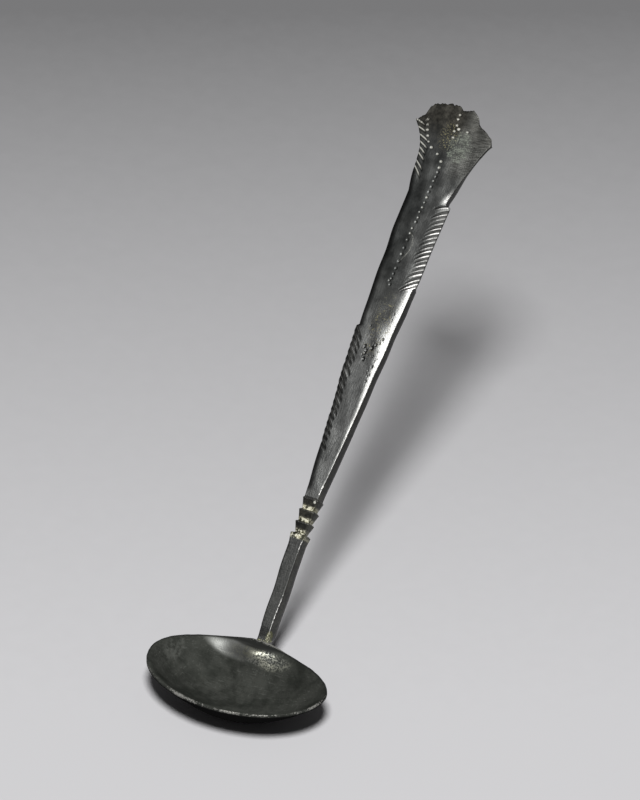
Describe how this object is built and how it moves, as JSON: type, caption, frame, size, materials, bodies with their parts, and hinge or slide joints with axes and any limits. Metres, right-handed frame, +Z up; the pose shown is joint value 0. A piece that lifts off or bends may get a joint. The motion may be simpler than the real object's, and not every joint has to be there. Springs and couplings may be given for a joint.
{
  "type": "long-handled spoon",
  "caption": "Shallow oval bowl on a rising square shank with filed collars and a flat fish-shaped handle whose tail end is broken.",
  "frame": {"origin": "middle of the small flat under the bowl", "axes": "+Z up with the bowl's rim level, +Y from the bowl towards the end of the handle, +X across the bowl to the right as seen from the front of the bowl"},
  "size_m": [0.0488, 0.1385, 0.1077],
  "materials": {
    "dark_silver": "tarnished silver: dark grey and half polished by handling, with bright worn edges, pits and grey-green crust",
    "hard_solder": "dull yellowish hard solder, corroded"
  },
  "bodies": {
    "root": {"bowl": "dark_silver", "handle": "dark_silver", "solder_film": "hard_solder"}
  },
  "joints": []
}
